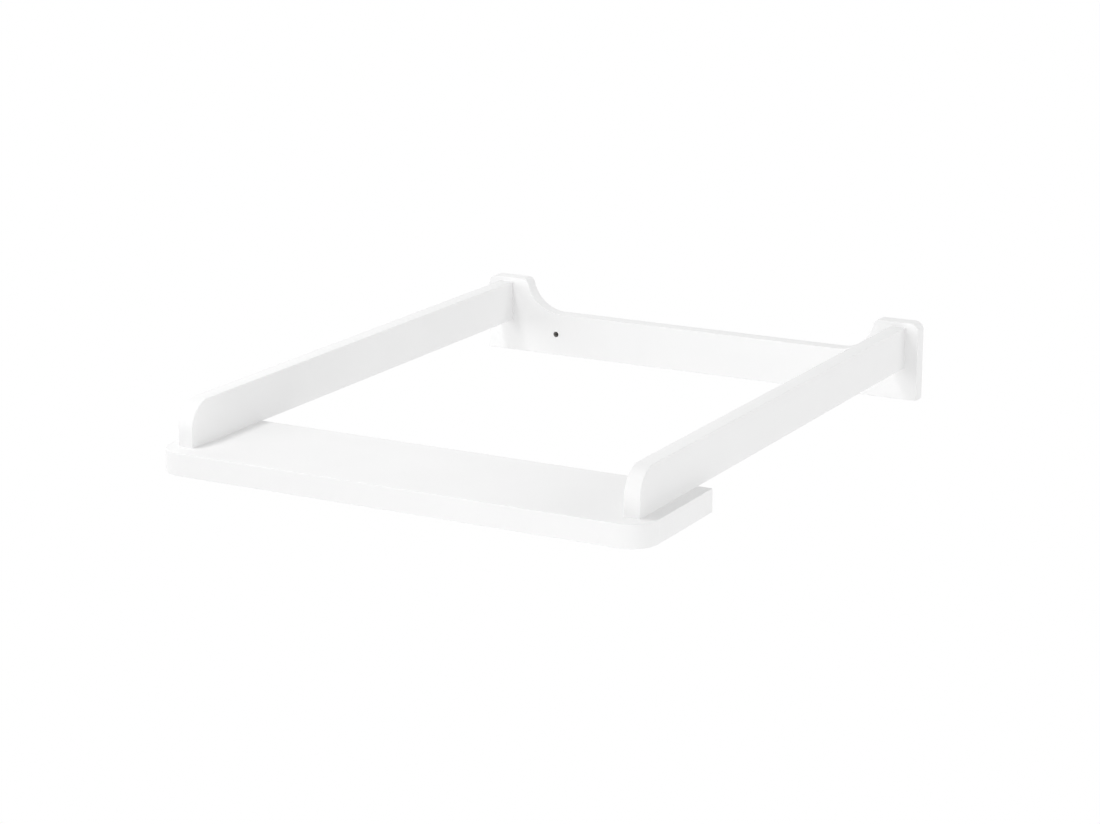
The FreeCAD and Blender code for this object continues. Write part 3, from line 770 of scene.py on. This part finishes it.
def floor_material(settings):
    """Pale floor that looks white, keeps the part's shadow and can be seen through from below."""
    shadow_reach = 0.45
    white_from = 0.85
    lift = 0.3
    made = bpy.data.materials.new("pale floor")
    made.use_nodes = True
    tree = made.node_tree
    tree.nodes.clear()
    position = tree.nodes.new("ShaderNodeTexCoord").outputs["Object"]
    distance = add_vector_math(tree, "LENGTH", position)
    share = add_range(tree, distance, (shadow_reach, white_from), (1.0, 0.0), "SMOOTHSTEP")
    lit = add_node(tree, "ShaderNodeBsdfDiffuse", {"Color": opaque(settings.floor_colour)}).outputs[0]
    glow = add_node(tree, "ShaderNodeEmission", {"Strength": lift}).outputs[0]
    lifted = add_node(tree, "ShaderNodeAddShader", {0: lit, 1: glow}).outputs[0]
    white = add_node(tree, "ShaderNodeEmission", {"Strength": 1.0}).outputs[0]
    shown = mix_shaders(tree, share, white, lifted)
    from_above = mix_shaders(tree, seen_ray(tree), lit, shown)
    clear = tree.nodes.new("ShaderNodeBsdfTransparent").outputs[0]
    behind = tree.nodes.new("ShaderNodeNewGeometry").outputs["Backfacing"]
    both = mix_shaders(tree, behind, from_above, clear)
    put(tree, tree.nodes.new("ShaderNodeOutputMaterial").inputs["Surface"], both)
    return made


def make_floor(settings, centre):
    """Round floor, far below the part."""
    radius = 30.0
    segments = 96
    skin = bmesh.new()
    bmesh.ops.create_circle(skin, cap_ends=True, segments=segments, radius=radius)
    mesh = bpy.data.meshes.new("floor")
    skin.to_mesh(mesh)
    skin.free()
    mesh.materials.append(floor_material(settings))
    floor = bpy.data.objects.new("floor", mesh)
    floor.location = (centre.x, centre.y, -settings.floor_drop)
    bpy.context.scene.collection.objects.link(floor)


def make_world(settings):
    """White surroundings that light the part evenly."""
    world = bpy.data.worlds.new("white surroundings")
    bpy.context.scene.world = world
    world.use_nodes = True
    tree = world.node_tree
    tree.nodes.clear()
    light = add_node(tree, "ShaderNodeBackground", {"Color": WHITE, "Strength": settings.ambient})
    shown = add_node(tree, "ShaderNodeBackground", {"Color": WHITE, "Strength": 1.0})
    both = mix_shaders(tree, seen_ray(tree), light.outputs[0], shown.outputs[0])
    put(tree, tree.nodes.new("ShaderNodeOutputWorld").inputs["Surface"], both)


def add_softbox(name, power, place, width, target):
    """Square soft lamp that the camera doesn't see, turned towards a target."""
    data = bpy.data.lights.new(name, "AREA")
    data.shape = "SQUARE"
    data.size = width
    data.energy = power
    lamp = bpy.data.objects.new(name, data)
    lamp.location = place
    lamp.rotation_euler = (target - Vector(place)).to_track_quat("-Z", "Y").to_euler()
    lamp.visible_camera = False
    bpy.context.scene.collection.objects.link(lamp)


def make_camera(settings):
    """Camera at the photograph's place."""
    data = bpy.data.cameras.new("camera")
    data.sensor_fit = "HORIZONTAL"
    data.sensor_width = 36.0
    data.lens = settings.camera_lens
    data.clip_end = 100.0
    camera = bpy.data.objects.new("camera", data)
    camera.location = settings.camera_place
    camera.rotation_euler = (FULL_TURN / 4 - settings.camera_elevation, 0.0, settings.camera_azimuth)
    bpy.context.scene.collection.objects.link(camera)
    bpy.context.scene.camera = camera


# Operators

class CHANGING_TOP_OT_front_board(bpy.types.Operator):
    """Gives the front board its white lacquer"""
    bl_idname = "changing_top.front_board"
    bl_label = "Front board"

    def execute(self, context):
        finish_nodes(["front_board"], white_lacquer())
        return {"FINISHED"}


class CHANGING_TOP_OT_rails(bpy.types.Operator):
    """Gives the two rails their white lacquer"""
    bl_idname = "changing_top.rails"
    bl_label = "Rails"

    def execute(self, context):
        finish_nodes(RAILS, white_lacquer())
        return {"FINISHED"}


class CHANGING_TOP_OT_back_board(bpy.types.Operator):
    """Gives the back board its white lacquer"""
    bl_idname = "changing_top.back_board"
    bl_label = "Back board"

    def execute(self, context):
        finish_nodes(["back_board"], white_lacquer())
        return {"FINISHED"}


class CHANGING_TOP_OT_bolts(bpy.types.Operator):
    """Makes the four front bolts and the two rear bolts with their threads"""
    bl_idname = "changing_top.bolts"
    bl_label = "Bolts"

    def execute(self, context):
        for node in FRONT_BOLTS:
            low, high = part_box(node)
            centre = middle(node)
            place = Matrix.Translation((centre.x, centre.y, low.z))
            make_bolt(node, place, high.z - low.z)
        forward = Matrix.Rotation(FULL_TURN / 4, 4, "X")
        for node in REAR_BOLTS:
            low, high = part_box(node)
            centre = middle(node)
            place = Matrix.Translation((centre.x, high.y, centre.z))
            make_bolt(node, place @ forward, high.y - low.y)
        return {"FINISHED"}


class CHANGING_TOP_OT_inserts(bpy.types.Operator):
    """Makes the four threaded inserts of the front bolts"""
    bl_idname = "changing_top.inserts"
    bl_label = "Threaded inserts"

    def execute(self, context):
        for node in INSERTS:
            make_insert(node)
        return {"FINISHED"}


class CHANGING_TOP_OT_barrel_nuts(bpy.types.Operator):
    """Gives the two barrel nuts their zinc plating"""
    bl_idname = "changing_top.barrel_nuts"
    bl_label = "Barrel nuts"

    def execute(self, context):
        finish_nodes(BARREL_NUTS, zinc_plated_steel())
        return {"FINISHED"}


class CHANGING_TOP_OT_dowels(bpy.types.Operator):
    """Gives the eight dowels their beech, with the grain along each dowel"""
    bl_idname = "changing_top.dowels"
    bl_label = "Dowels"

    def execute(self, context):
        drawn_out = 0.1
        finish_nodes(FRONT_DOWELS, beech("upright beech", (1.0, 1.0, drawn_out)))
        finish_nodes(REAR_DOWELS, beech("level beech", (1.0, drawn_out, 1.0)))
        return {"FINISHED"}


class CHANGING_TOP_OT_stage(bpy.types.Operator):
    """Makes the floor, the surroundings, the softboxes and the camera"""
    bl_idname = "changing_top.stage"
    bl_label = "Stage"

    def execute(self, context):
        settings = context.scene.changing_top.stage
        centre = (CAD_BOX[0] + CAD_BOX[1]) / 2
        make_floor(settings, centre)
        make_world(settings)
        for name, power, place, width in SOFTBOXES:
            add_softbox(name, getattr(settings, power), place, width, centre)
        make_camera(settings)
        context.scene.view_settings.view_transform = "Standard"
        return {"FINISHED"}


STEPS = (
    CHANGING_TOP_OT_front_board, CHANGING_TOP_OT_rails, CHANGING_TOP_OT_back_board,
    CHANGING_TOP_OT_bolts, CHANGING_TOP_OT_inserts, CHANGING_TOP_OT_barrel_nuts,
    CHANGING_TOP_OT_dowels, CHANGING_TOP_OT_stage,
)


class CHANGING_TOP_PT_steps(bpy.types.Panel):
    """Lists the steps that dress the changing top"""
    bl_idname = "CHANGING_TOP_PT_steps"
    bl_label = "Changing top"
    bl_space_type = "VIEW_3D"
    bl_region_type = "UI"
    bl_category = "Changing top"

    def draw(self, context):
        for step in STEPS:
            self.layout.operator(step.bl_idname)
        settings = context.scene.changing_top
        for group in (settings.lacquer, settings.fasteners, settings.dowels, settings.stage):
            box = self.layout.box()
            for name in group.__annotations__:
                box.prop(group, name)


CLASSES = (
    LacquerSettings, FastenerSettings, DowelSettings, StageSettings, ChangingTopSettings,
    *STEPS, CHANGING_TOP_PT_steps,
)


def register():
    """Adds the classes and the scene's settings."""
    for made in CLASSES:
        bpy.utils.register_class(made)
    bpy.types.Scene.changing_top = bpy.props.PointerProperty(
        type=ChangingTopSettings, name="Changing top", description="Settings of the changing top")


def unregister():
    """Takes the settings and the classes away again."""
    del bpy.types.Scene.changing_top
    for made in reversed(CLASSES):
        bpy.utils.unregister_class(made)


def main():
    """Dresses the part step by step."""
    register()
    bpy.ops.changing_top.front_board()
    bpy.ops.changing_top.rails()
    bpy.ops.changing_top.back_board()
    bpy.ops.changing_top.bolts()
    bpy.ops.changing_top.inserts()
    bpy.ops.changing_top.barrel_nuts()
    bpy.ops.changing_top.dowels()
    bpy.ops.changing_top.stage()


if __name__ == "__main__":
    main()
